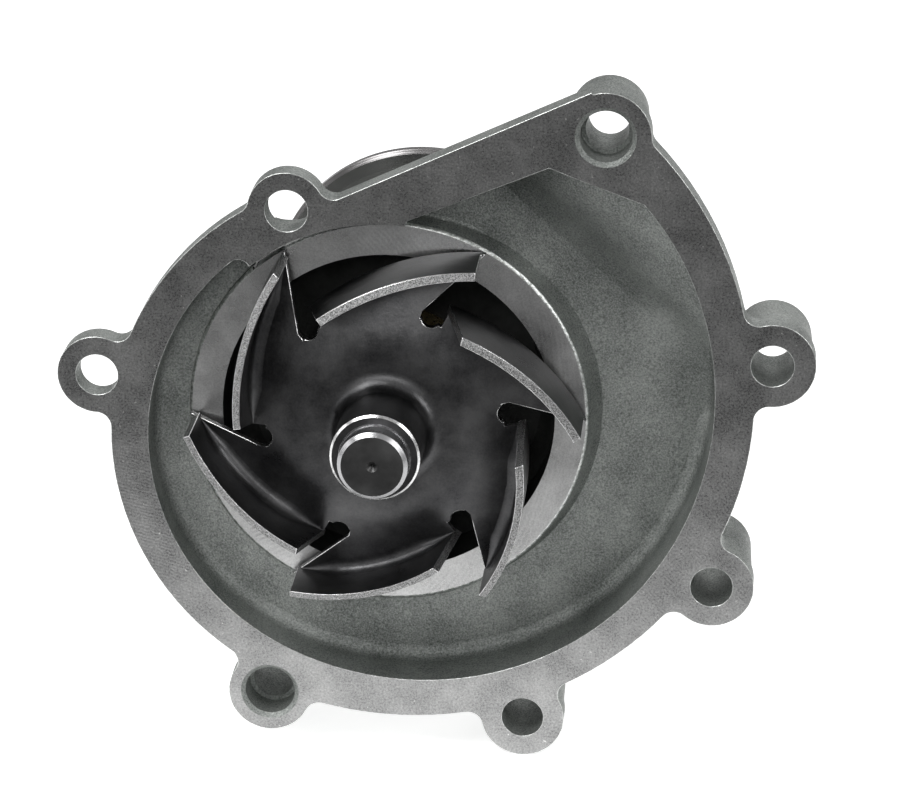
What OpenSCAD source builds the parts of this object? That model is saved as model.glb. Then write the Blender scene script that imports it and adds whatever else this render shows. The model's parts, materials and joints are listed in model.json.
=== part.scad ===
// Engine coolant pump: open volute housing with a seven-hole flange, a stamped six-blade
// impeller, a unitised face seal, an integral-shaft bearing and a pulley hub.
// Modules are drawn on the bench: shaft axis along Z, flange face at z = 0, impeller side up.
// place() turns that to the row's frame: X right, Z up, +Y along the shaft to the pulley hub.

/* [Shaft] */
// Diameter of the shaft, which is also the inner race of the bearing
shaft_d = 16; // [15.8:0.1:16.2]
// How far the shaft stands out in front of the flange face
shaft_out = 24.9; // [21:0.1:30]

/* [Impeller] */
// Diameter over the blade tips
impeller_d = 91; // [88:0.5:92]
// Thickness of the stamped sheet
sheet_t = 1.8; // [1.4:0.1:2.2]
// Number of blades
blade_count = 6; // [6:1:6]
// Radius of the arc that each blade is bent to
blade_bend_r = 55.6; // [54:0.2:57]
// Height of the hub collar above the flange face
collar_top = 19.5; // [17:0.5:20.5]

/* [Flange] */
// Thickness of the flange plate
flange_t = 6; // [5:0.5:8]
// Diameter of the mounting bolt holes
bolt_hole_d = 9.8; // [8:0.1:10.4]
// Diameter of the counterbore for a ring dowel
dowel_d = 11.9; // [11:0.1:13]
// Length of the bolt bosses, from the flange face
boss_len = 21; // [18:0.5:26]

/* [Volute] */
// Depth of the channel floor below the flange face, on the shaft axis
volute_depth = 13; // [12:0.5:14]
// Tilt of the channel floor, which deepens towards the outlet
floor_tilt = 4; // [3:0.5:5]
// Thickness of the cast wall
cast_wall = 4.5; // [4:0.5:6]

/* [Bearing nose] */
// Outer diameter of the bearing
bearing_d = 30; // [29:0.5:31]
// Length of the bearing's outer ring
bearing_len = 44; // [42:1:44]

/* [Pulley hub] */
// Diameter of the hub's flange
hub_d = 78.4; // [70:0.2:90]
// Pitch circle of the pulley's screw holes
hub_pcd = 58; // [54:1:60]

/* [Hidden] */
$fn = 96;
eps = 0.01;

shaft_r = shaft_d / 2;

// Mounting holes: position in the flange plane, lug radius, boss length, dowel counterbore
thin = flange_t;
long_boss = boss_len + 4;
HOLES = [[[-66.8, 10.9], 9.3, thin, false],
         [[-21.9, 51.7], 9.0, thin, false],
         [[50.2, 70.7], 10.3, boss_len, true],
         [[88.9, 17.9], 9.9, boss_len, false],
         [[76.5, -37.1], 9.8, long_boss, false],
         [[32.6, -72.4], 9.8, long_boss, false],
         [[-27.9, -68.2], 9.8, long_boss, true]];
dowel_depth = 8;
boss_end_r = 9;
// Gusset between each long boss and the channel's wall
gusset_t = 13;
gusset_len = 13;
// Room for a bolt head behind the thin lugs
thin_lug_back_r = 6.2;
lug_fillet = 3.5;

// Flange outline: three arcs, given as centre and radius, and the straight upper edge
RIM_LEFT = [[1.5, -4.8], 65.5];
RIM_LOWER = [[3.9, 8.1], 81.2];
RIM_UPPER = [[1.45, 11.7], 82.7];
edge_start = [-7, 56.2];
edge_angle = 24.7;
// The straight edge as a circle large enough to be straight, for the fillet that meets it
RIM_EDGE = [edge_start + polar(2000, edge_angle - 90), 2000];
// Rims that each lug's fillets run into, on its clockwise and anticlockwise sides
LUG_RIMS = [[RIM_LEFT, RIM_LEFT], [RIM_EDGE, RIM_LEFT], [RIM_UPPER], [RIM_LOWER, RIM_UPPER],
            [RIM_LOWER, RIM_LOWER], [RIM_LOWER, RIM_LOWER], [RIM_LEFT, RIM_LOWER]];

// Volute channel: four arcs, each meeting the next at its joint angle without a corner
VOLUTE_R = [57.9, 67.7, 74.8, 64.7];
VOLUTE_A = [130.5, 244.6, 322.8, 385.1, 404];
volute_c0 = [2.7, -4.85];
// Angle between points along the channel's arcs
arc_step = 3;
// Radius of the channel's rounded start
start_r = 2.7;
// Straight wall over the outlet, from the tongue to its rounded corner and the edge beyond
tongue = [5.5, 49.95];
outlet_corner = [37.6, 63.3];
outlet_edge = [43, 61.2];

// Outlet ramp: an S-shaped rise, two equal arcs, measured along ramp_dir
ramp_dir = 48;
ramp_start = 44;
ramp_end = 86.5;
ramp_depth = volute_depth + 6;
// The ramp's curve ends this far above the flange face, so that it meets the face at an angle
ramp_over = 0.4;

// Wear land around the impeller, and the chamber behind it
land_z = -9.3;
land_r = 46.7;
land_bore_r = 49;
land_bore_z = -8.4;
lip_foot_r = 48.4;
throat_r = 39;
chamber_z = -27.3;
chamber_wall_r = throat_r + cast_wall;

// Bores along the shaft, from front to back
seal_bore_r = 18.2;
seal_bore_z = -39.5;
weep_r = 14;
bearing_z = -45;
bearing_end = bearing_z - bearing_len;
nose_r = 20.5;
nose_end_r = 19.5;
shoulder_z = chamber_z - cast_wall;
nose_z = shoulder_z - 12;
rib_count = 6;
rib_t = 5;

// Rolling elements
pitch_r = 10.3;
ball_r = 2.78;
ball_count = 9;
ball_z = bearing_z - 10;
roller_r = 2.25;
roller_len = 12;
roller_count = 11;
roller_z = bearing_z - 27;
run_gap = 0.05;
track_r = pitch_r + roller_r + run_gap;
lock_z = bearing_z - 18;
lock_r = 3;

// Pulley hub stations
hub_face_z = -100;
hub_plate_t = 4.2;
hub_boss_r = 14;
hub_boss_z = bearing_end - 1.5;
hub_pilot_r = 15;
hub_pilot_len = 5;
hub_screw_r = 3.4;
hub_screw_count = 4;
shaft_end_z = hub_face_z - 3;

// Impeller: the disc is flat to cone_r, then falls back; the blade tops slope the same way
cone_r = 20;
disc_z = 0.8;
disc_slope = 0.3;
blade_top_z = 13.1;
blade_top_slope = 0.477;
blade_inner_r = 32.5;
blade_c = [-4.55, -24.07];
blade_tip_a = 1.5;
blade_root_a = 61.6;
blade_root_r = 31.3;
blade_rake = 15.6;
collar_r = 10.3;
collar_fillet = 4;
slot_c = [28.8, 67.7];
slot_r = 2.3;
lobe_corner = [45.2, 1.0];
lobe_notch = [29.4, 12.6];

function polar(r, a) = [r * cos(a), r * sin(a)];
function volute_c(k) = k == 0 ? volute_c0
    : volute_c(k - 1) + polar(VOLUTE_R[k - 1] - VOLUTE_R[k], VOLUTE_A[k]);
function arc_points(c, r, a0, a1) =
    let (n = ceil(abs(a1 - a0) / arc_step)) [for (i = [0:n]) c + polar(r, a0 + (a1 - a0) * i / n)];
// One arc of the channel's wall, moved out by grow, without the point where the next one starts
function volute_arc(k, grow) =
    let (all = arc_points(volute_c(k), VOLUTE_R[k] + grow, VOLUTE_A[k], VOLUTE_A[k + 1]))
    [for (i = [0:len(all) - 2]) all[i]];
function disc_top(r) = disc_z - disc_slope * max(0, r - cone_r);
function blade_top(r) = blade_top_z - blade_top_slope * (r - blade_inner_r);
// Centre of the circle of radius r that touches two circles from outside, on the left of p to q
function touching(p, rp, q, rq, r) =
    let (d = norm(q - p), a = rp + r, b = rq + r,
         u = (q - p) / d, x = (a * a - b * b + d * d) / (2 * d), y = sqrt(a * a - x * x))
    p + x * u + y * [-u[1], u[0]];

module place() {
    rotate([90, 0, 0]) children();
}

// A body of revolution about the shaft axis, from points given as [radius, z]
module turned(points) {
    rotate_extrude() polygon(points);
}

module tube(r_out, r_in, z_low, z_high) {
    turned([[r_in, z_low], [r_out, z_low], [r_out, z_high], [r_in, z_high]]);
}

// ---------------------------------------------------------------- housing

// Fills the corner between two circles with a concave fillet
module web(p, rp, q, rq, r) {
    c = touching(p, rp, q, rq, r);
    reach = 9;
    from_p = p + (c - p) * max(0, rp - reach) / (rp + r);
    from_q = q + (c - q) * max(0, rq - reach) / (rq + r);
    difference() {
        polygon([from_p, from_q, c]);
        translate(c) circle(r + 0.02);
    }
}

module rim(arc) {
    translate(arc[0]) circle(arc[1], $fn = 240);
}

// Everything above the straight upper edge, which is tangent to the upper dowel boss
module above_edge() {
    intersection() {
        translate(edge_start) rotate(edge_angle) translate([-30, 0]) square([300, 300]);
        translate([HOLES[1][0][0], 0]) square([300, 300]);
    }
}

module flange_outline() {
    difference() {
        rim(RIM_LEFT);
        above_edge();
    }
    intersection() {
        rim(RIM_LOWER);
        polygon([HOLES[6][0], [-12, 4], HOLES[3][0] * 1.3, [130, -130], [-28, -130]]);
    }
    difference() {
        intersection() {
            rim(RIM_UPPER);
            polygon([[-12, -4], HOLES[3][0] * 1.3, [130, 130], [-12, 130]]);
        }
        above_edge();
    }
    for (i = [0:len(HOLES) - 1]) {
        h = HOLES[i];
        rims = LUG_RIMS[i];
        translate(h[0]) circle(h[1]);
        web(h[0], h[1], rims[0][0], rims[0][1], lug_fillet);
        if (len(rims) > 1) web(rims[1][0], rims[1][1], h[0], h[1], lug_fillet);
    }
}

// The channel's plan: its arcs, the outlet under its straight wall, and the rounded start
module channel_plan(grow) {
    up = polar(grow, edge_angle + 90);
    polygon(concat([for (k = [0:len(VOLUTE_R) - 1]) each volute_arc(k, grow)],
                   [outlet_edge + up, outlet_corner + up, tongue + up, polar(25, 100),
                    polar(25, VOLUTE_A[0])]));
    translate(volute_c0 + polar(VOLUTE_R[0] - start_r - 0.05, VOLUTE_A[0]))
        circle(start_r + grow);
}

// The plan as a solid that stands on the tilted floor, moved down by drop
module channel_body(grow, top, drop) {
    difference() {
        translate([0, 0, -40]) linear_extrude(40 + top) channel_plan(grow);
        rotate([0, floor_tilt, 0]) translate([-150, -150, -volute_depth - drop - 60])
            cube([300, 300, 60]);
    }
}

// Metal under the outlet ramp: two arcs, concave then convex, rise to the flange face
module ramp_metal(drop) {
    run = ramp_end - ramp_start;
    rise = ramp_depth + ramp_over;
    half = atan(rise / run);
    r = run / (2 * sin(2 * half));
    foot = -ramp_depth;
    far = ramp_end + 80;
    rotate([0, 0, ramp_dir]) translate([0, 0, -drop]) rotate([90, 0, 0])
        linear_extrude(300, center = true) {
            difference() {
                polygon([[ramp_start, -60], [ramp_start, foot], [(ramp_start + ramp_end) / 2, foot + rise / 2],
                         [ramp_end, foot + rise], [far, foot + rise], [far, -60]]);
                translate([ramp_start, foot + r]) circle(r, $fn = 240);
            }
            translate([ramp_end, foot + rise - r]) circle(r + 0.05, $fn = 240);
        }
}

module cavity() {
    difference() {
        channel_body(0, 10, 0);
        ramp_metal(0);
        // raised lip that carries the wear land
        turned([[0, -60], [60, -60], [60, -20.5], [53, -20.5], [lip_foot_r + 1.4, land_z - 7.2],
                [lip_foot_r, land_z - 5.4], [land_r, land_z], [0, land_z]]);
    }
    translate([0, 0, land_bore_z]) cylinder(r = land_bore_r, h = 20, $fn = 240);
    translate([0, 0, land_z]) cylinder(r = land_r, h = 20, $fn = 240);
}

module boss(h) {
    translate([h[0][0], h[0][1], -h[2]]) {
        cylinder(r1 = boss_end_r, r2 = h[1] - 0.3, h = h[2] - 1);
        rotate(atan2(h[0][1], h[0][0]) + 180) translate([0, -gusset_t / 2, 2])
            cube([gusset_len, gusset_t, h[2] - 3]);
    }
}

module back_body() {
    // metal behind the wear land
    land_back = land_bore_r + cast_wall;
    turned([[0, land_z - cast_wall], [land_back - 3, land_z - cast_wall],
            [land_back, land_z - cast_wall + 3], [land_back, -1], [0, -1]]);
    // chamber wall, shoulder and bearing nose
    turned([[0, bearing_end], [nose_end_r, bearing_end], [nose_r, nose_z - 1], [26, nose_z],
            [chamber_wall_r - 3, shoulder_z], [chamber_wall_r, shoulder_z + 3],
            [chamber_wall_r, -3], [0, -3]]);
    for (k = [0:rib_count - 1]) rotate([0, 0, 360 / rib_count * k]) rotate([90, 0, 0])
        linear_extrude(rib_t, center = true)
            polygon([[15, shoulder_z + 2], [chamber_wall_r - 4, shoulder_z + 2],
                     [nose_r + 1, nose_z - 26], [15, nose_z - 26]]);
}

module housing_solid() {
    translate([0, 0, -flange_t]) linear_extrude(flange_t) flange_outline();
    difference() {
        channel_body(cast_wall, -1, cast_wall);
        ramp_metal(cast_wall);
    }
    for (h = HOLES) if (h[2] > flange_t) boss(h);
    back_body();
}

module housing() {
    color([0.72, 0.73, 0.73]) place() difference() {
        housing_solid();
        cavity();
        // chamber behind the impeller
        turned([[0, chamber_z], [throat_r - 4, chamber_z], [throat_r, chamber_z + 4],
                [throat_r, 0], [0, 0]]);
        // seal bore, weep chamber and bearing bore
        translate([0, 0, seal_bore_z]) cylinder(r = seal_bore_r, h = 30);
        translate([0, 0, bearing_z - 1]) cylinder(r = weep_r, h = 30);
        translate([0, 0, bearing_end - 1]) cylinder(r = bearing_d / 2, h = bearing_len + 1);
        for (h = HOLES) translate([h[0][0], h[0][1], -60]) {
            cylinder(d = bolt_hole_d, h = 80);
            if (h[2] == thin) cylinder(r = thin_lug_back_r, h = 60 - flange_t);
            if (h[3]) translate([0, 0, 60 - dowel_depth]) cylinder(d = dowel_d, h = 20);
            if (h[3]) translate([0, 0, 59]) cylinder(d1 = dowel_d, d2 = dowel_d + 2, h = 1 + eps);
        }
        // drain hole below the shaft and vent hole above it
        translate([0, 0, bearing_z + 2.6]) rotate([90, 0, 0]) cylinder(r = 2.5, h = 60);
        translate([0, 0, bearing_z + 2.6]) rotate([-90, 0, 0]) cylinder(r = 1.5, h = 60);
        // threaded hole of the bearing's lock screw
        translate([0, 0, lock_z]) rotate([-90, 0, 0]) cylinder(r = lock_r, h = 40);
    }
}

// ---------------------------------------------------------------- impeller

// The stamped sheet: flat centre, falling rim and a collar drawn up around the shaft
module impeller_shell() {
    rim_r = impeller_d / 2 + 1;
    difference() {
        union() {
            turned([[shaft_r, disc_z], [cone_r, disc_z], [rim_r, disc_top(rim_r)],
                    [rim_r, disc_top(rim_r) - sheet_t], [cone_r, disc_z - sheet_t],
                    [shaft_r, disc_z - sheet_t]]);
            turned([[shaft_r, disc_z - eps], [collar_r, disc_z - eps], [collar_r, collar_top - 0.5],
                    [collar_r - 0.5, collar_top], [shaft_r + 0.3, collar_top],
                    [shaft_r, collar_top - 0.3]]);
            rotate_extrude() difference() {
                translate([collar_r, disc_z]) square(collar_fillet);
                translate([collar_r + collar_fillet, disc_z + collar_fillet]) circle(collar_fillet);
            }
        }
        // rolled inner edge where the collar is drawn
        rotate_extrude() difference() {
            translate([shaft_r - 1, disc_z - sheet_t - 1]) square([3.5, 3.5]);
            translate([shaft_r + 2.5, disc_z - sheet_t + 2.5]) circle(2.5);
        }
    }
}

// Plan of one lobe: inside its blade's arc, from the blade's root to the notch of the next one
module lobe_plan() {
    notch = polar(lobe_notch[0], lobe_notch[1]);
    corner = polar(lobe_corner[0], lobe_corner[1]);
    intersection() {
        translate(blade_c) circle(blade_bend_r + sheet_t / 2, $fn = 240);
        polygon([[0, 0], notch, notch + 1.3 * (corner - notch), polar(70, 25),
                 polar(70, blade_root_a)]);
    }
}

module impeller_disc() {
    intersection() {
        impeller_shell();
        translate([0, 0, -20]) linear_extrude(60) difference() {
            union() {
                circle(slot_c[0] - 1);
                for (k = [0:blade_count - 1]) rotate(360 / blade_count * k) lobe_plan();
            }
            for (k = [0:blade_count - 1])
                rotate(360 / blade_count * k) translate(polar(slot_c[0], slot_c[1])) circle(slot_r);
        }
    }
}

// A blade: a band of sheet on its arc, between the disc and the sloping top edge
module blade() {
    tip_r = impeller_d / 2;
    tip = polar(tip_r, blade_tip_a) - blade_c;
    tip_a = atan2(tip[1], tip[0]);
    root = polar(blade_root_r, blade_root_a);
    along = atan2(root[1] - blade_c[1], root[0] - blade_c[0]) - 90;
    past = tip_r + 3;
    difference() {
        intersection() {
            translate([0, 0, -20]) linear_extrude(60) intersection() {
                difference() {
                    translate(blade_c) circle(blade_bend_r + sheet_t / 2, $fn = 240);
                    translate(blade_c) circle(blade_bend_r - sheet_t / 2, $fn = 240);
                }
                polygon([[0, 0], blade_c + polar(30, tip_a), blade_c + polar(80, tip_a), polar(75, 30),
                         polar(75, blade_root_a + 3)]);
            }
            turned([[20, disc_top(20) - sheet_t + 0.3], [past, disc_top(past) - sheet_t + 0.3],
                    [past, blade_top(past)], [20, blade_top(20)]]);
        }
        // raked leading edge
        translate([root[0], root[1], disc_top(blade_root_r)]) rotate([0, 0, along])
            rotate([90, 0, 0]) linear_extrude(12, center = true)
                polygon([[-20, -20], [-20 * tan(blade_rake), -20],
                         [30 * tan(blade_rake), 30], [-20, 30]]);
    }
}

module impeller() {
    color([0.26, 0.26, 0.27]) place() {
        impeller_disc();
        for (k = [0:blade_count - 1]) rotate([0, 0, 360 / blade_count * k]) blade();
    }
}

// ---------------------------------------------------------------- shaft and pulley hub

module groove() {
    translate([0, 0, ball_z]) rotate_extrude()
        translate([pitch_r, 0]) circle(ball_r + run_gap, $fn = 48);
}

module shaft() {
    chamfer = 0.9;
    color([0.62, 0.62, 0.63]) place() difference() {
        turned([[0, shaft_end_z], [shaft_r - chamfer, shaft_end_z],
                [shaft_r, shaft_end_z + chamfer], [shaft_r, shaft_out - chamfer],
                [shaft_r - chamfer, shaft_out], [0, shaft_out]]);
        groove();
        // centre marks left by grinding
        translate([0, 0, shaft_out - 1.2]) cylinder(r1 = 0.1, r2 = 1.3, h = 1.2 + eps);
        translate([0, 0, shaft_end_z - eps]) cylinder(r1 = 1.8, r2 = 0.1, h = 1.8);
    }
}

module pulley_hub() {
    back_z = hub_face_z + hub_plate_t;
    edge = 1;
    hub_r = hub_d / 2;
    color([0.45, 0.45, 0.46]) place() difference() {
        union() {
            turned([[shaft_r, hub_face_z], [hub_r - edge, hub_face_z], [hub_r, hub_face_z + edge],
                    [hub_r, back_z - edge], [hub_r - edge, back_z], [hub_r - 4, back_z],
                    [hub_r - 7, back_z - 1.2], [hub_boss_r + 6, back_z - 1.2],
                    [hub_boss_r, back_z + 2], [hub_boss_r - 1, hub_boss_z], [shaft_r, hub_boss_z]]);
            tube(hub_pilot_r, shaft_r, hub_face_z - hub_pilot_len, hub_face_z + 1);
        }
        for (k = [0:hub_screw_count - 1]) rotate([0, 0, 45 + 360 / hub_screw_count * k])
            translate([hub_pcd / 2, 0, hub_face_z - 1]) cylinder(r = hub_screw_r, h = 10);
        // chamfer in the pilot's mouth
        translate([0, 0, hub_face_z - hub_pilot_len - eps])
            cylinder(r1 = shaft_r + 2, r2 = shaft_r, h = 2);
    }
}

// ---------------------------------------------------------------- bearing

module bearing_outer_ring() {
    seat = 2.2;
    color([0.66, 0.66, 0.68]) place() difference() {
        tube(bearing_d / 2, track_r, bearing_end, bearing_z);
        groove();
        // rebates that hold the two seals
        translate([0, 0, bearing_z - seat]) cylinder(r = track_r + 0.6, h = seat + 1);
        translate([0, 0, bearing_end - 1]) cylinder(r = track_r + 0.6, h = seat + 1);
        // dimple for the lock screw
        translate([0, 0, lock_z]) rotate([-90, 0, 0])
            translate([0, 0, bearing_d / 2 - 0.8]) cylinder(r = lock_r, h = 4);
    }
}

module bearing_balls() {
    color([0.8, 0.8, 0.82]) place()
        for (k = [0:ball_count - 1]) rotate([0, 0, 360 / ball_count * k])
            translate([pitch_r, 0, ball_z]) sphere(ball_r, $fn = 48);
}

module bearing_rollers() {
    color([0.8, 0.8, 0.82]) place()
        for (k = [0:roller_count - 1]) rotate([0, 0, 360 / roller_count * k])
            translate([pitch_r, 0, roller_z - roller_len / 2])
                cylinder(r = roller_r, h = roller_len, $fn = 48);
}

module ball_cage() {
    color([0.75, 0.68, 0.5]) place() difference() {
        tube(pitch_r + 1.2, pitch_r - 1.4, ball_z - ball_r - 0.7, ball_z + ball_r - 0.6);
        for (k = [0:ball_count - 1]) rotate([0, 0, 360 / ball_count * k])
            translate([pitch_r, 0, ball_z]) sphere(ball_r + run_gap, $fn = 48);
    }
}

module roller_cage() {
    color([0.75, 0.68, 0.5]) place() difference() {
        tube(pitch_r + 1, pitch_r - 1.2, roller_z - roller_len / 2 - 1.5,
             roller_z + roller_len / 2 + 1.5);
        for (k = [0:roller_count - 1]) rotate([0, 0, 360 / roller_count * k])
            translate([pitch_r, 0, roller_z - roller_len / 2 - run_gap])
                cylinder(r = roller_r + run_gap, h = roller_len + 2 * run_gap, $fn = 48);
    }
}

// A lip seal pressed into the bearing's end; its lip runs on the shaft
module bearing_seal(z_low, lip_up) {
    lip = lip_up ? z_low + 1.2 : z_low;
    tube(track_r + 0.6, shaft_r + 1.6, z_low, z_low + 1.8);
    tube(shaft_r + 1.6 + eps, shaft_r + run_gap, lip, lip + 0.6);
}

module bearing_seal_inner() {
    color([0.12, 0.12, 0.12]) place() bearing_seal(bearing_z - 2, true);
}

module bearing_seal_outer() {
    color([0.12, 0.12, 0.12]) place() bearing_seal(bearing_end + 0.2, false);
}

module bearing_lock_screw() {
    socket = 3;
    color([0.25, 0.25, 0.26]) place() translate([0, 0, lock_z]) rotate([-90, 0, 0])
        difference() {
            translate([0, 0, bearing_d / 2 - 0.8]) cylinder(r = lock_r, h = 4.6);
            translate([0, 0, bearing_d / 2 + 1.4]) cylinder(d = socket, h = 4, $fn = 6);
        }
}

// ---------------------------------------------------------------- face seal and slinger

module slinger() {
    color([0.1, 0.1, 0.1]) place()
        turned([[shaft_r, -44], [9.6, -44], [9.8, -43.2], [12.8, -42.4], [12.8, -41.4],
                [9.6, -41], [shaft_r, -41]]);
}

module seal_case() {
    wall = 1;
    low = seal_bore_z + 0.5;
    color([0.78, 0.74, 0.6]) place() {
        tube(seal_bore_r, seal_bore_r - wall, low, chamber_z + 0.8);
        tube(seal_bore_r - wall + eps, 10.9, low, low + wall);
        tube(seal_bore_r + 2.6, seal_bore_r - eps, chamber_z, chamber_z + 0.8);
    }
}

// Coil between the case and the spring plate, its ends closed and square
module seal_spring() {
    wire_r = 0.75;
    coil_r = 15.75;
    z_low = -36.2;
    z_high = -31.15;
    turns = 3;
    steps = 36 * turns;
    sides = 10;
    // the first and last half turns stay level
    function level(t) = let (u = (t * turns - 0.5) / (turns - 1)) z_low + (z_high - z_low) * max(0, min(1, u));
    function ring(i) = let (t = i / steps, a = 360 * turns * t)
        [for (j = [0:sides - 1]) let (b = 360 * j / sides, r = coil_r + wire_r * cos(b))
            [r * cos(a), r * sin(a), level(t) + wire_r * sin(b)]];
    points = [for (i = [0:steps]) each ring(i)];
    walls = [for (i = [0:steps - 1], j = [0:sides - 1]) let (k = (j + 1) % sides)
        [i * sides + j, (i + 1) * sides + j, (i + 1) * sides + k, i * sides + k]];
    first = [for (j = [0:sides - 1]) j];
    final = [for (j = [sides - 1:-1:0]) steps * sides + j];
    color([0.7, 0.7, 0.72]) place() polyhedron(points, concat([first], walls, [final]));
}

module seal_spring_plate() {
    color([0.8, 0.72, 0.45]) place() tube(16.7, 12.7, -30.4, -29.6);
}

module seal_bellows() {
    color([0.08, 0.08, 0.08]) place()
        turned([[12.7, -30.45], [12.7, -33], [11, -34.2], [11, -37.5], [16.6, -37.5], [16.6, -37],
                [12.2, -37], [12.2, -34.8], [14.2, -33.4], [14.2, -30.45]]);
}

module carbon_ring() {
    color([0.16, 0.16, 0.17]) place()
        turned([[10.2, -33], [12.65, -33], [12.65, -29.55], [15, -29.55], [15, -27], [13.2, -26.6],
                [13.2, -25.53], [10.8, -25.53], [10.8, -26.6], [10.2, -27]]);
}

module seat_ring() {
    color([0.5, 0.51, 0.53]) place() tube(15.2, 9.3, -25.5, -21);
}

module seat_cup() {
    color([0.08, 0.08, 0.08]) place()
        turned([[15.2, -25], [16.6, -25], [16.6, -20], [8.7, -20], [8.7, -21], [15.2, -21]]);
}

module seal_sleeve() {
    color([0.72, 0.72, 0.73]) place()
        turned([[shaft_r, -38], [8.7, -38], [8.7, -20], [16.8, -20], [16.8, -19.2],
                [shaft_r, -19.2]]);
}

housing();
impeller();
shaft();
pulley_hub();
bearing_outer_ring();
bearing_balls();
ball_cage();
bearing_rollers();
roller_cage();
bearing_seal_inner();
bearing_seal_outer();
bearing_lock_screw();
slinger();
seal_case();
seal_spring();
seal_spring_plate();
seal_bellows();
carbon_ring();
seat_ring();
seat_cup();
seal_sleeve();
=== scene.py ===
"""Looks of a water pump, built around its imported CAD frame. All lengths are in metres."""
import json
import math

import bmesh
import bpy
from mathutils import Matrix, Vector


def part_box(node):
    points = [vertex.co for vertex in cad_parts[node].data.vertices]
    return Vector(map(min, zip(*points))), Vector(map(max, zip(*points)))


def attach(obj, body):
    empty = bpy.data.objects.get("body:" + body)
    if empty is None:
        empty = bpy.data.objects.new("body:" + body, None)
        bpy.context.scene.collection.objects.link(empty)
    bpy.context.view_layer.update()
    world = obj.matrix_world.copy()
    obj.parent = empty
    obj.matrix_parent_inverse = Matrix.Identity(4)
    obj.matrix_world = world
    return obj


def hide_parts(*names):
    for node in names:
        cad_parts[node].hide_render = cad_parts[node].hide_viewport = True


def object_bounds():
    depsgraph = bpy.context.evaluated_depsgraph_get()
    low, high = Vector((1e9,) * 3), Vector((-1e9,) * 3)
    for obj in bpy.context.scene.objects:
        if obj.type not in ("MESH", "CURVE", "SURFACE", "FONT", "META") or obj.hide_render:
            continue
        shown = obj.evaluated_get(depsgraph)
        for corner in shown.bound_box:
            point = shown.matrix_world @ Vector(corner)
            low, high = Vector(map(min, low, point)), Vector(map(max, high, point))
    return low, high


MM = 0.001
# The impeller's disc: its front face on the axis, where the cone starts, its slope, its sheet
DISC_TOP = 0.8 * MM
CONE_R = 20 * MM
DISC_SLOPE = 0.3
SHEET_T = 1.8 * MM
# Where the first blade leaves the disc; the next one is 60 degrees on
ROOT_R = 31.3 * MM
ROOT_ANGLE = 61.6
# Just behind the wear land, and the radii just outside its lip and just outside the chamber painted
# dark as shade
LAND_Y = 9.4 * MM
LAND_R = 49.5 * MM
CHAMBER_R = 41 * MM
# Radii between which the lip's sharp edges lie, and those between which its foot lies
LIP_R = (46 * MM, 47.5 * MM)
LIP_FOOT_R = (47.5 * MM, 50.5 * MM)
# Depth of the dowel counterbores, whose corners stay sharp
DOWEL_DEPTH = 8 * MM
# The collar round the shaft: all of it is inside this radius and its rims are in front of this y
COLLAR_R = 13 * MM
COLLAR_Y = -8 * MM
# Blade tops are outside this radius
BLADE_R = 30 * MM
# The shaft's front end, inside its chamfer
SHAFT_END_R = 6.9 * MM
SHAFT_END_DEPTH = 2 * MM
# Normals: a face square to the axis, a wall along the axis, and a cut edge of the stamping
SQUARE = 0.999
WALL_TILT = 0.35
CUT_TILT = 0.5
# Edges that bend more than this many degrees stay sharp, and more than this may be bevelled
SMOOTH_ANGLE = 32
BEVEL_ANGLE = 50
# A corner is concave when its signed bend is below this, in radians
CONCAVE_BEND = -0.6
# Points nearer than this are one point: in a copied node, and when corners are looked for
WELD = 0.0005 * MM
CORNER_WELD = 0.004 * MM
# Facets across a fillet
COVE_STEPS = 6
# The Mix node's colour sockets
MIX_A, MIX_B, MIX_RESULT = 6, 7, 2

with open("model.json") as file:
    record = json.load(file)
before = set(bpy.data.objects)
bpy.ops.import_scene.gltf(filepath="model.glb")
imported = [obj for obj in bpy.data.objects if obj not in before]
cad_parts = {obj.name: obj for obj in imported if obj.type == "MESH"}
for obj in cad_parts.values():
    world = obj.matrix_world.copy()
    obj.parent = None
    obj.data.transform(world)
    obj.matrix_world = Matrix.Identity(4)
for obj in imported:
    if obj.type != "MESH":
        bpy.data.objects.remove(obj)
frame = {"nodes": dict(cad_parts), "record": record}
cad_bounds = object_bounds()
nodes = frame["nodes"]


# ---------------------------------------------------------------- shapes taken from the frame

def radius_of(point):
    """Distance from the shaft's axis."""
    return math.hypot(point.x, point.z)


def outwardness(point, normal):
    """Negative where a face at point looks towards the axis, positive where it looks away."""
    return normal.x * point.x + normal.z * point.z


def add_piece(name, mesh, body):
    piece = bpy.data.objects.new(name, mesh)
    bpy.context.scene.collection.objects.link(piece)
    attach(piece, body)
    return piece


def refined(node, name, body, bevel, share, edge_material):
    """A welded, smooth-shaded copy of a CAD node. Each sharp edge's bevel is the part of bevel
    that share returns for the edge's middle, and has the piece's material edge_material."""
    mesh = nodes[node].data.copy()
    mesh.materials.clear()
    bm = bmesh.new()
    bm.from_mesh(mesh)
    bmesh.ops.remove_doubles(bm, verts=bm.verts, dist=WELD)
    weight = bm.edges.layers.float.new("bevel_weight_edge")
    for face in bm.faces:
        face.smooth = True
    for edge in bm.edges:
        angle = edge.calc_face_angle(0.0)
        edge.smooth = angle < math.radians(SMOOTH_ANGLE)
        if angle > math.radians(BEVEL_ANGLE):
            edge[weight] = share((edge.verts[0].co + edge.verts[1].co) / 2)
    bm.to_mesh(mesh)
    bm.free()
    if "custom_normal" in mesh.attributes:
        mesh.attributes.remove(mesh.attributes["custom_normal"])
    piece = add_piece(name, mesh, body)
    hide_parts(node)
    rounding = piece.modifiers.new("edges", "BEVEL")
    rounding.width = bevel
    rounding.segments = 2
    rounding.limit_method = "WEIGHT"
    rounding.use_clamp_overlap = False
    rounding.material = edge_material
    even = piece.modifiers.new("normals", "WEIGHTED_NORMAL")
    even.keep_sharp = True
    return piece


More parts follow.
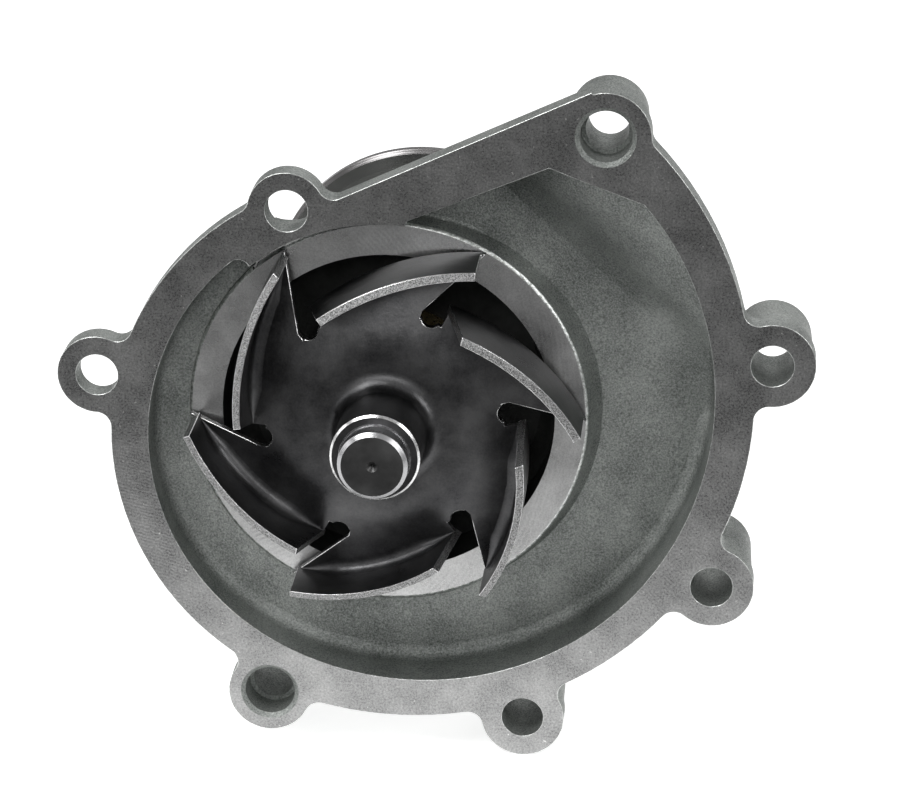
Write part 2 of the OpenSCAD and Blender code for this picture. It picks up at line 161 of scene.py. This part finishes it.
def is_wall(normal):
    return abs(normal.y) < WALL_TILT


def corner_chains(node, wanted):
    """Runs of concave edges where a wall meets a floor, as lists of (point, wall, floor)."""
    bm = bmesh.new()
    bm.from_mesh(nodes[node].data)
    bmesh.ops.remove_doubles(bm, verts=bm.verts, dist=CORNER_WELD)
    found = {}
    for edge in bm.edges:
        if len(edge.link_faces) != 2 or edge.calc_face_angle_signed(0.0) > CONCAVE_BEND:
            continue
        walls = [f for f in edge.link_faces if is_wall(f.normal)]
        floors = [f for f in edge.link_faces if not is_wall(f.normal)]
        middle = (edge.verts[0].co + edge.verts[1].co) / 2
        if len(walls) == 1 and len(floors) == 1 and wanted(middle, walls[0].normal):
            found[edge] = (walls[0].normal.copy(), floors[0].normal.copy())
    touching = {}
    for edge in found:
        for vert in edge.verts:
            touching.setdefault(vert, []).append(edge)
    chains = []
    left = dict(found)
    while left:
        ends = [v for v, edges in touching.items() if sum(e in left for e in edges) == 1]
        vert = min(ends, key=lambda v: v.co.to_tuple()) if ends else next(iter(left)).verts[0]
        run = [(vert, None)]
        while True:
            onward = [e for e in touching[vert] if e in left]
            if not onward:
                break
            del left[onward[0]]
            vert = onward[0].other_vert(vert)
            run.append((vert, onward[0]))
        chain = []
        edges_after = [edge for _, edge in run[1:]] + [None]
        for (vert, edge), edge_after in zip(run, edges_after):
            beside = [e for e in (edge, edge_after) if e]
            wall = sum((found[e][0] for e in beside), Vector()).normalized()
            floor = sum((found[e][1] for e in beside), Vector()).normalized()
            chain.append((vert.co.copy(), wall, floor))
        chains.append(chain)
    bm.free()
    return chains


def run_lengths(chain):
    """How far each point of a chain is from its first point, along the chain."""
    run = [0.0]
    for a, b in zip(chain, chain[1:]):
        run.append(run[-1] + (b[0] - a[0]).length)
    return run


def cove(name, chains, radius, taper, body, material):
    """Closed fillet solids that fill concave corners and run out over taper at their ends."""
    mesh = bpy.data.meshes.new(name)
    mesh.materials.append(material)
    bm = bmesh.new()
    smooth_angle = 40
    thinnest = 0.05
    depth = 0.2 * MM
    count = COVE_STEPS + 2
    for chain in chains:
        run = run_lengths(chain)
        if run[-1] < 2 * taper:
            continue
        rings = []
        for (point, wall, floor), gone in zip(chain, run):
            from_end = min(gone, run[-1] - gone)
            here = radius * max(thinnest, min(1.0, from_end / taper))
            centre = point + (wall + floor) * (here / (1 + wall.dot(floor)))
            arc = [centre - here * wall.slerp(floor, k / COVE_STEPS) for k in range(COVE_STEPS + 1)]
            buried = point - (wall + floor) * depth
            rings.append([bm.verts.new(p) for p in [*arc, buried]])
        for a, b in zip(rings, rings[1:]):
            for k in range(count):
                face = bm.faces.new([a[k], a[(k + 1) % count], b[(k + 1) % count], b[k]])
                face.smooth = k < COVE_STEPS
        bm.faces.new(rings[0])
        bm.faces.new(rings[-1])
    bmesh.ops.recalc_face_normals(bm, faces=bm.faces)
    for edge in bm.edges:
        edge.smooth = edge.calc_face_angle(0.0) < math.radians(smooth_angle)
    bm.to_mesh(mesh)
    bm.free()
    add_piece(name, mesh, body)


# ---------------------------------------------------------------- materials

class Graph:
    """A material whose nodes are added and linked in one call each."""

    def __init__(self, name, metallic, roughness, color):
        self.material = bpy.data.materials.new(name)
        self.material.use_nodes = True
        self.tree = self.material.node_tree
        self.shader = self.tree.nodes["Principled BSDF"]
        self.shader.inputs["Metallic"].default_value = metallic
        self.shader.inputs["Roughness"].default_value = roughness
        self.shader.inputs["Base Color"].default_value = (*color, 1)
        self.place = self.add("ShaderNodeTexCoord").outputs["Object"]

    def feed(self, socket, value):
        """Links a socket to another node's output, or gives it a fixed value."""
        if isinstance(value, bpy.types.NodeSocket):
            self.tree.links.new(value, socket)
        else:
            socket.default_value = value

    def add(self, kind, **inputs):
        """Adds a node. Inputs are named as in Blender, with _ for a space."""
        node = self.tree.nodes.new(kind)
        for key, value in inputs.items():
            self.feed(node.inputs[key.replace("_", " ")], value)
        return node

    def noise(self, size, detail=3.0, roughness=0.55):
        """Noise from 0 to 1 whose grains are about size metres across."""
        return self.add("ShaderNodeTexNoise", Vector=self.place, Scale=1 / size,
                        Detail=detail, Roughness=roughness).outputs["Fac"]

    def rings(self, spacing, centre=(0, 0, 0), distortion=0.6):
        """Fine turning marks: rings about spacing apart, round the line along Y through centre."""
        moved = self.add("ShaderNodeMapping", Vector=self.place, Location=[-c for c in centre])
        wave = self.add("ShaderNodeTexWave", Vector=moved.outputs["Vector"],
                        Scale=1 / (math.pi * spacing), Distortion=distortion, Detail=2.0)
        wave.wave_type = "RINGS"
        wave.rings_direction = "Y"
        return wave.outputs["Fac"]

    def math(self, operation, a, b):
        node = self.tree.nodes.new("ShaderNodeMath")
        node.operation = operation
        self.feed(node.inputs[0], a)
        self.feed(node.inputs[1], b)
        return node.outputs[0]

    def mixed(self, a, a_share, b, b_share):
        """The sum of two values, each times its share."""
        return self.math("ADD", self.math("MULTIPLY", a, a_share), self.math("MULTIPLY", b, b_share))

    def span(self, value, low, high, to_low=0.0, to_high=1.0):
        """Maps low..high of a value to another range, clamped."""
        node = self.add("ShaderNodeMapRange", Value=value, From_Min=low, From_Max=high,
                        To_Min=to_low, To_Max=to_high)
        return node.outputs["Result"]

    def blend(self, factor, a, b):
        """Mixes two colours, each an RGB triple or another node's output."""
        node = self.tree.nodes.new("ShaderNodeMix")
        node.data_type = "RGBA"
        self.tree.links.new(factor, node.inputs["Factor"])
        for index, value in ((MIX_A, a), (MIX_B, b)):
            self.feed(node.inputs[index], (*value, 1) if isinstance(value, tuple) else value)
        return node.outputs[MIX_RESULT]

    def color(self, value):
        self.tree.links.new(value, self.shader.inputs["Base Color"])

    def roughness(self, value):
        self.tree.links.new(value, self.shader.inputs["Roughness"])

    def bumps(self, *layers):
        """Stacks (height, distance in metres) layers into the shader's normal."""
        normal = None
        for height, distance in layers:
            node = self.add("ShaderNodeBump", Height=height, Distance=distance, Strength=1.0)
            if normal:
                self.tree.links.new(normal, node.inputs["Normal"])
            normal = node.outputs["Normal"]
        self.tree.links.new(normal, self.shader.inputs["Normal"])


def cast_aluminium():
    """Sand-cast skin: fine grain, pits and darker blotches."""
    g = Graph("cast_aluminium", 0.85, 0.5, (0.3, 0.31, 0.3))
    grain = g.noise(0.45 * MM, 3.0, roughness=0.75)
    pit = g.noise(1.5 * MM, 2.0)
    blotch = g.noise(18 * MM, 4.0)
    tone = g.mixed(grain, 0.7, blotch, 0.45)
    g.color(g.blend(g.span(tone, 0.42, 0.76), (0.14, 0.154, 0.145), (0.54, 0.56, 0.54)))
    g.roughness(g.span(grain, 0.35, 0.65, 0.6, 0.4))
    g.bumps((blotch, 0.15 * MM), (pit, 0.16 * MM), (grain, 0.22 * MM))
    return g.material


def worn_aluminium():
    """Edges of the casting that handling has rubbed bright."""
    g = Graph("worn_aluminium", 1.0, 0.35, (0.8, 0.82, 0.8))
    wear = g.noise(1.2 * MM, 4.0, roughness=0.7)
    g.color(g.blend(g.span(wear, 0.35, 0.6), (0.35, 0.37, 0.35), (0.92, 0.94, 0.92)))
    g.bumps((wear, 0.1 * MM))
    return g.material


def shaded_chamber_aluminium():
    """The chamber behind the impeller, painted near-black as shade, in a mottled tone."""
    g = Graph("shaded_chamber_aluminium", 0.6, 0.6, (0.05, 0.05, 0.05))
    shade_mottle = g.noise(8 * MM, 4.0)
    grain = g.noise(0.6 * MM, 3.0)
    g.color(g.blend(g.span(shade_mottle, 0.3, 0.7), (0.02, 0.021, 0.02), (0.06, 0.063, 0.06)))
    g.bumps((grain, 0.12 * MM))
    return g.material


def machined_aluminium():
    """The milled flange face: cutter arcs, fine speckle and a few bright nicks."""
    g = Graph("machined_aluminium", 1.0, 0.36, (0.5, 0.5, 0.49))
    marks = g.rings(0.8 * MM, centre=(-0.1, 0, -0.2), distortion=2.5)
    cloud = g.noise(11 * MM, 5.0, roughness=0.65)
    speck = g.noise(0.5 * MM, 4.0, roughness=0.85)
    nick = g.noise(1.2 * MM, 3.0, roughness=0.6)
    tone = g.mixed(speck, 0.8, cloud, 0.4)
    base = g.blend(g.span(tone, 0.46, 0.76), (0.21, 0.212, 0.212), (0.62, 0.62, 0.615))
    g.color(g.blend(g.span(nick, 0.68, 0.72), base, (0.95, 0.95, 0.93)))
    g.roughness(g.span(tone, 0.4, 0.8, 0.22, 0.4))
    g.bumps((marks, 0.008 * MM), (speck, 0.02 * MM), (nick, 0.03 * MM))
    return g.material


def turned_aluminium():
    """Faces cut on the lathe, with the arcs a worn tool leaves."""
    g = Graph("turned_aluminium", 1.0, 0.34, (0.5, 0.5, 0.49))
    marks = g.rings(1.1 * MM, centre=(-0.045, 0, 0.005), distortion=1.0)
    cloud = g.noise(12 * MM, 4.0, roughness=0.65)
    speck = g.noise(0.4 * MM, 4.0, roughness=0.7)
    tone = g.mixed(speck, 0.6, cloud, 0.6)
    g.color(g.blend(g.span(tone, 0.42, 0.78), (0.55, 0.552, 0.55), (0.92, 0.922, 0.915)))
    g.roughness(g.span(cloud, 0.3, 0.7, 0.24, 0.36))
    g.bumps((marks, 0.008 * MM), (cloud, 0.05 * MM), (speck, 0.01 * MM))
    return g.material


def stamped_steel():
    """Dark rolled sheet, cloudy and slightly wavy."""
    g = Graph("stamped_steel", 1.0, 0.34, (0.1, 0.1, 0.105))
    cloud = g.noise(13 * MM, 5.0, roughness=0.6)
    grain = g.noise(0.5 * MM, 4.0, roughness=0.75)
    tone = g.mixed(cloud, 0.75, grain, 0.25)
    g.color(g.blend(g.span(tone, 0.36, 0.64), (0.065, 0.065, 0.068), (0.175, 0.175, 0.177)))
    g.roughness(g.span(tone, 0.35, 0.65, 0.26, 0.42))
    g.bumps((cloud, 0.2 * MM), (grain, 0.02 * MM))
    return g.material


def sheared_steel():
    """Cut edges of the stamping, with the fine tears a press leaves."""
    g = Graph("sheared_steel", 1.0, 0.34, (0.4, 0.4, 0.4))
    tears = g.noise(0.32 * MM, 5.0, roughness=0.85)
    g.color(g.blend(g.span(tears, 0.42, 0.6), (0.1, 0.1, 0.1), (0.62, 0.62, 0.62)))
    g.roughness(g.span(tears, 0.3, 0.7, 0.45, 0.28))
    g.bumps((tears, 0.16 * MM))
    return g.material


def burr_steel():
    """The thin bright burr along the cut edges."""
    g = Graph("burr_steel", 1.0, 0.22, (0.9, 0.9, 0.9))
    wear = g.noise(0.9 * MM, 4.0, roughness=0.7)
    g.color(g.blend(g.span(wear, 0.35, 0.6), (0.55, 0.55, 0.55), (1.0, 1.0, 1.0)))
    return g.material


def turned_steel(name, low, high, rough, spacing=0.3 * MM):
    """Turned or ground steel in colours from low to high, with rings spacing apart."""
    g = Graph(name, 1.0, rough, high)
    marks = g.rings(spacing)
    cloud = g.noise(9 * MM, 4.0)
    fine = g.noise(0.3 * MM, 3.0)
    g.color(g.blend(g.span(cloud, 0.3, 0.7), low, high))
    g.roughness(g.span(cloud, 0.3, 0.7, rough * 0.8, rough * 1.3))
    g.bumps((marks, 0.006 * MM), (fine, 0.004 * MM))
    return g.material


def fine_grained(name, low, high, rough, metallic=0.0):
    """Rubber, plastic, ceramic or plated metal in colours from low to high."""
    g = Graph(name, metallic, rough, high)
    cloud = g.noise(6 * MM, 3.0)
    grain = g.noise(0.6 * MM, 3.0)
    g.color(g.blend(g.span(cloud, 0.3, 0.7), low, high))
    g.roughness(g.span(grain, 0.3, 0.7, rough * 0.85, min(1.0, rough * 1.15)))
    g.bumps((grain, 0.02 * MM))
    return g.material


CAST = cast_aluminium()
MACHINED = machined_aluminium()
TURNED = turned_aluminium()
WORN = worn_aluminium()
CHAMBER_SHADE = shaded_chamber_aluminium()
STAMPED = stamped_steel()
SHEARED = sheared_steel()
BURR = burr_steel()
SHAFT_END = turned_steel("shaft_end_steel", (0.08, 0.08, 0.08), (0.13, 0.13, 0.13), 0.42, 0.9 * MM)
FINISHES = {
    "ground_steel": turned_steel("ground_steel", (0.42, 0.42, 0.43), (0.56, 0.56, 0.57), 0.24),
    "hub_steel": turned_steel("hub_steel", (0.23, 0.225, 0.225), (0.3, 0.292, 0.292), 0.2,
                              0.5 * MM),
    "polished_steel": turned_steel("polished_steel", (0.6, 0.6, 0.62), (0.72, 0.72, 0.74), 0.1),
    "cage_plastic": fine_grained("cage_plastic", (0.55, 0.48, 0.33), (0.66, 0.6, 0.44), 0.5),
    "seal_rubber": fine_grained("seal_rubber", (0.012, 0.012, 0.012), (0.03, 0.03, 0.03), 0.6),
    "screw_steel": fine_grained("screw_steel", (0.04, 0.04, 0.045), (0.1, 0.1, 0.105), 0.4, 0.9),
    "seal_brass": fine_grained("seal_brass", (0.5, 0.4, 0.2), (0.66, 0.55, 0.32), 0.3, 1.0),
    "spring_steel": fine_grained("spring_steel", (0.5, 0.5, 0.52), (0.64, 0.64, 0.66), 0.25, 1.0),
    "seal_carbon": fine_grained("seal_carbon", (0.02, 0.02, 0.022), (0.05, 0.05, 0.052), 0.35, 0.3),
    "seal_ceramic": fine_grained("seal_ceramic", (0.08, 0.082, 0.09), (0.14, 0.145, 0.155), 0.18),
}


# ---------------------------------------------------------------- pieces

def paint(piece, materials, choose):
    """Gives a piece its materials, and each face the one that choose returns."""
    for material in materials:
        piece.data.materials.append(material)
    for face in piece.data.polygons:
        face.material_index = materials.index(choose(face.center, face.normal))


def housing():
    low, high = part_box("housing")
    widest_bevel = 0.55 * MM
    flange_share = 0.25

    def bevel_share(point):
        """The flange face's edges get a narrow bevel and the lip round the land a full one."""
        if point.y < low.y + 0.01 * MM:
            return flange_share
        on_lip = point.y < LAND_Y and LIP_R[0] < radius_of(point) < LIP_R[1]
        return 1.0 if on_lip else 0.0

    def choose(centre, normal):
        radius = radius_of(centre)
        if normal.y < -SQUARE and centre.y < 0.5 * MM:
            return MACHINED
        if normal.y < -SQUARE and radius < LAND_R and centre.y < LAND_Y + 0.1 * MM:
            return TURNED
        if normal.y > SQUARE and centre.y > high.y - 1 * MM:
            return TURNED
        # Chamber faces that look towards the axis or forward get painted shade: a near-black
        # material
        in_chamber = radius < CHAMBER_R and centre.y > LAND_Y
        if in_chamber and (outwardness(centre, normal) < 0 or normal.y < -0.3):
            return CHAMBER_SHADE
        return CAST

    def on_volute_foot(point, normal):
        beyond_lip = radius_of(point) > LIP_FOOT_R[1] and outwardness(point, normal) < 0
        on_floor = 6 * MM < point.y < 19 * MM and abs(point.y - DOWEL_DEPTH) > 0.05 * MM
        return beyond_lip and on_floor

    def on_lip_foot(point, normal):
        by_lip = LIP_FOOT_R[0] < radius_of(point) < LIP_FOOT_R[1]
        return by_lip and 10 * MM < point.y < 20 * MM and outwardness(point, normal) > 0

    materials = [CAST, MACHINED, TURNED, WORN, CHAMBER_SHADE]
    piece = refined("housing", "housing_casting", "pump_body", widest_bevel,
                    bevel_share, materials.index(WORN))
    paint(piece, materials, choose)
    cove("volute_fillet", corner_chains("housing", on_volute_foot), 3 * MM, 6 * MM,
         "pump_body", CAST)
    cove("lip_fillet", corner_chains("housing", on_lip_foot), 1.3 * MM, 6 * MM,
         "pump_body", CAST)


def impeller():
    rim_bevel = 0.16 * MM

    def disc_top(radius):
        """How far back the disc's front face is at a radius."""
        return -DISC_TOP + DISC_SLOPE * max(0.0, radius - CONE_R)

    def bevel_share(point):
        """Blade tops, the disc's front edges and the collar's rims, but not where a blade leaves
        the disc."""
        radius = radius_of(point)
        turn = (math.degrees(math.atan2(point.z, point.x)) - ROOT_ANGLE + 30) % 60 - 30
        near_root = abs(radius - ROOT_R) < 2.5 * MM and abs(turn) < 4.5
        if near_root and point.y > disc_top(radius) - 2 * MM:
            return 0.0
        blade_top = radius > BLADE_R and point.y < disc_top(radius) - 5 * MM
        disc_edge = radius > CONE_R and abs(point.y - disc_top(radius)) < 0.05 * MM
        collar = radius < COLLAR_R and point.y < COLLAR_Y
        return 1.0 if blade_top or disc_edge or collar else 0.0

    def choose(centre, normal):
        radius = radius_of(centre)
        top = disc_top(radius)
        if radius < COLLAR_R and centre.y < COLLAR_Y and 0.3 < abs(normal.y) < 0.95:
            return BURR
        outward = outwardness(centre, normal) / radius
        upright = abs(normal.y) < CUT_TILT
        in_sheet = top - 0.01 * MM < centre.y < top + SHEET_T + 0.01 * MM
        blade_top = normal.y < -0.7 and centre.y < -5.5 * MM and radius > BLADE_R
        disc_edge = in_sheet and upright and radius > CONE_R and abs(outward) < 0.75
        blade_end = centre.y < top and upright and abs(outward) < 0.55
        return SHEARED if blade_top or disc_edge or blade_end else STAMPED

    def on_blade_bend(point, normal):
        return radius_of(point) > 26 * MM and outwardness(point, normal) < 0

    materials = [STAMPED, SHEARED, BURR]
    piece = refined("impeller", "impeller_stamping", "rotor", rim_bevel,
                    bevel_share, materials.index(BURR))
    paint(piece, materials, choose)
    cove("blade_bends", corner_chains("impeller", on_blade_bend), 2.4 * MM, 9 * MM,
         "rotor", STAMPED)


def shaft():
    """The shaft's front end is dark, inside a bright chamfer."""
    low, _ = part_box("shaft")

    def choose(centre, _):
        at_end = centre.y < low.y + SHAFT_END_DEPTH and radius_of(centre) < SHAFT_END_R
        return SHAFT_END if at_end else FINISHES["ground_steel"]

    nodes["shaft"].data.materials.clear()
    paint(nodes["shaft"], [FINISHES["ground_steel"], SHAFT_END], choose)


def plain_nodes():
    """The CAD nodes whose shape is kept get their slot's finish."""
    for part in frame["record"]["subparts"]:
        node = nodes[part["node"]]
        if part["material_slot"] in FINISHES and part["node"] != "shaft":
            node.data.materials.clear()
            node.data.materials.append(FINISHES[part["material_slot"]])


# ---------------------------------------------------------------- stage

def camera():
    """The camera stands in front, a little to the right, and looks down on the pump."""
    elevation = math.radians(20.33)
    azimuth = math.radians(5.15)
    view = bpy.data.cameras.new("camera")
    view.sensor_width = 36
    view.lens = 134.9
    view.clip_start = 0.05
    view.clip_end = 20
    stand = bpy.data.objects.new("camera", view)
    bpy.context.scene.collection.objects.link(stand)
    stand.location = (0.0814, -0.7278, 0.2768)
    stand.rotation_euler = (math.pi / 2 - elevation, 0, azimuth)
    bpy.context.scene.camera = stand


def stage_floor():
    """The floor touches the lowest lug. The camera sees it pale all over. In reflections it is
    dark in front of the pump, from dark_y towards the front, and pale behind pale_y. It glows."""
    size = 8.0
    dark_y = -0.17
    pale_y = -0.03
    reflected = 0.82
    bpy.ops.mesh.primitive_plane_add(size=size, location=(0, 0, cad_bounds[0].z))
    plane = bpy.context.object
    plane.name = "floor"
    g = Graph("floor", 0.0, 0.7, (0.8, 0.8, 0.8))
    forward = g.add("ShaderNodeSeparateXYZ", Vector=g.place).outputs["Y"]
    seen = g.add("ShaderNodeLightPath").outputs["Is Camera Ray"]
    pale = g.math("MAXIMUM", g.math("MULTIPLY", g.span(forward, dark_y, pale_y), reflected), seen)
    g.color(g.blend(pale, (0.1, 0.1, 0.1), (0.86, 0.86, 0.86)))
    glow = g.blend(pale, (0.02, 0.02, 0.02), (1.0, 1.0, 1.0))
    g.tree.links.new(glow, g.shader.inputs["Emission Color"])
    g.shader.inputs["Emission Strength"].default_value = 0.7
    plane.data.materials.append(g.material)


def area_light(name, place, target, size, power):
    """A rectangular lamp of size (width, height) at place, turned towards target."""
    light = bpy.data.lights.new(name, "AREA")
    light.shape = "RECTANGLE"
    light.size, light.size_y = size
    light.energy = power
    lamp = bpy.data.objects.new(name, light)
    bpy.context.scene.collection.objects.link(lamp)
    lamp.location = place
    lamp.rotation_euler = (Vector(target) - Vector(place)).to_track_quat("-Z", "Y").to_euler()


def stage_lights():
    """Large, soft lamps. Power is in watts."""
    area_light("key", (-0.45, -0.45, 0.95), (0, 0, 0), (0.6, 0.6), 6)
    area_light("back", (0.3, 0.9, 0.9), (0, 0.1, 0), (1.2, 0.8), 3)
    area_light("left", (-1.1, -0.4, 0.25), (0, 0, 0), (0.5, 0.8), 2)
    area_light("right", (0.9, -0.5, 0.5), (0, 0, 0), (0.25, 0.7), 2.5)
    area_light("front", (-0.1, -1.6, 0.75), (0, 0, 0), (0.9, 0.4), 3)


def stage_world():
    """A grey world, which the camera sees as pale."""
    lighting = 0.36
    to_camera = 0.95
    surroundings = bpy.data.worlds.new("world")
    surroundings.use_nodes = True
    tree = surroundings.node_tree
    background = tree.nodes["Background"]
    background.inputs["Strength"].default_value = 1.0
    seen = tree.nodes.new("ShaderNodeLightPath").outputs["Is Camera Ray"]
    tone = tree.nodes.new("ShaderNodeMapRange")
    tone.inputs["To Min"].default_value = lighting
    tone.inputs["To Max"].default_value = to_camera
    tree.links.new(seen, tone.inputs["Value"])
    tree.links.new(tone.outputs["Result"], background.inputs["Color"])
    bpy.context.scene.world = surroundings
    bpy.context.scene.view_settings.view_transform = "Standard"


housing()
impeller()
shaft()
plain_nodes()
camera()
stage_floor()
stage_lights()
stage_world()
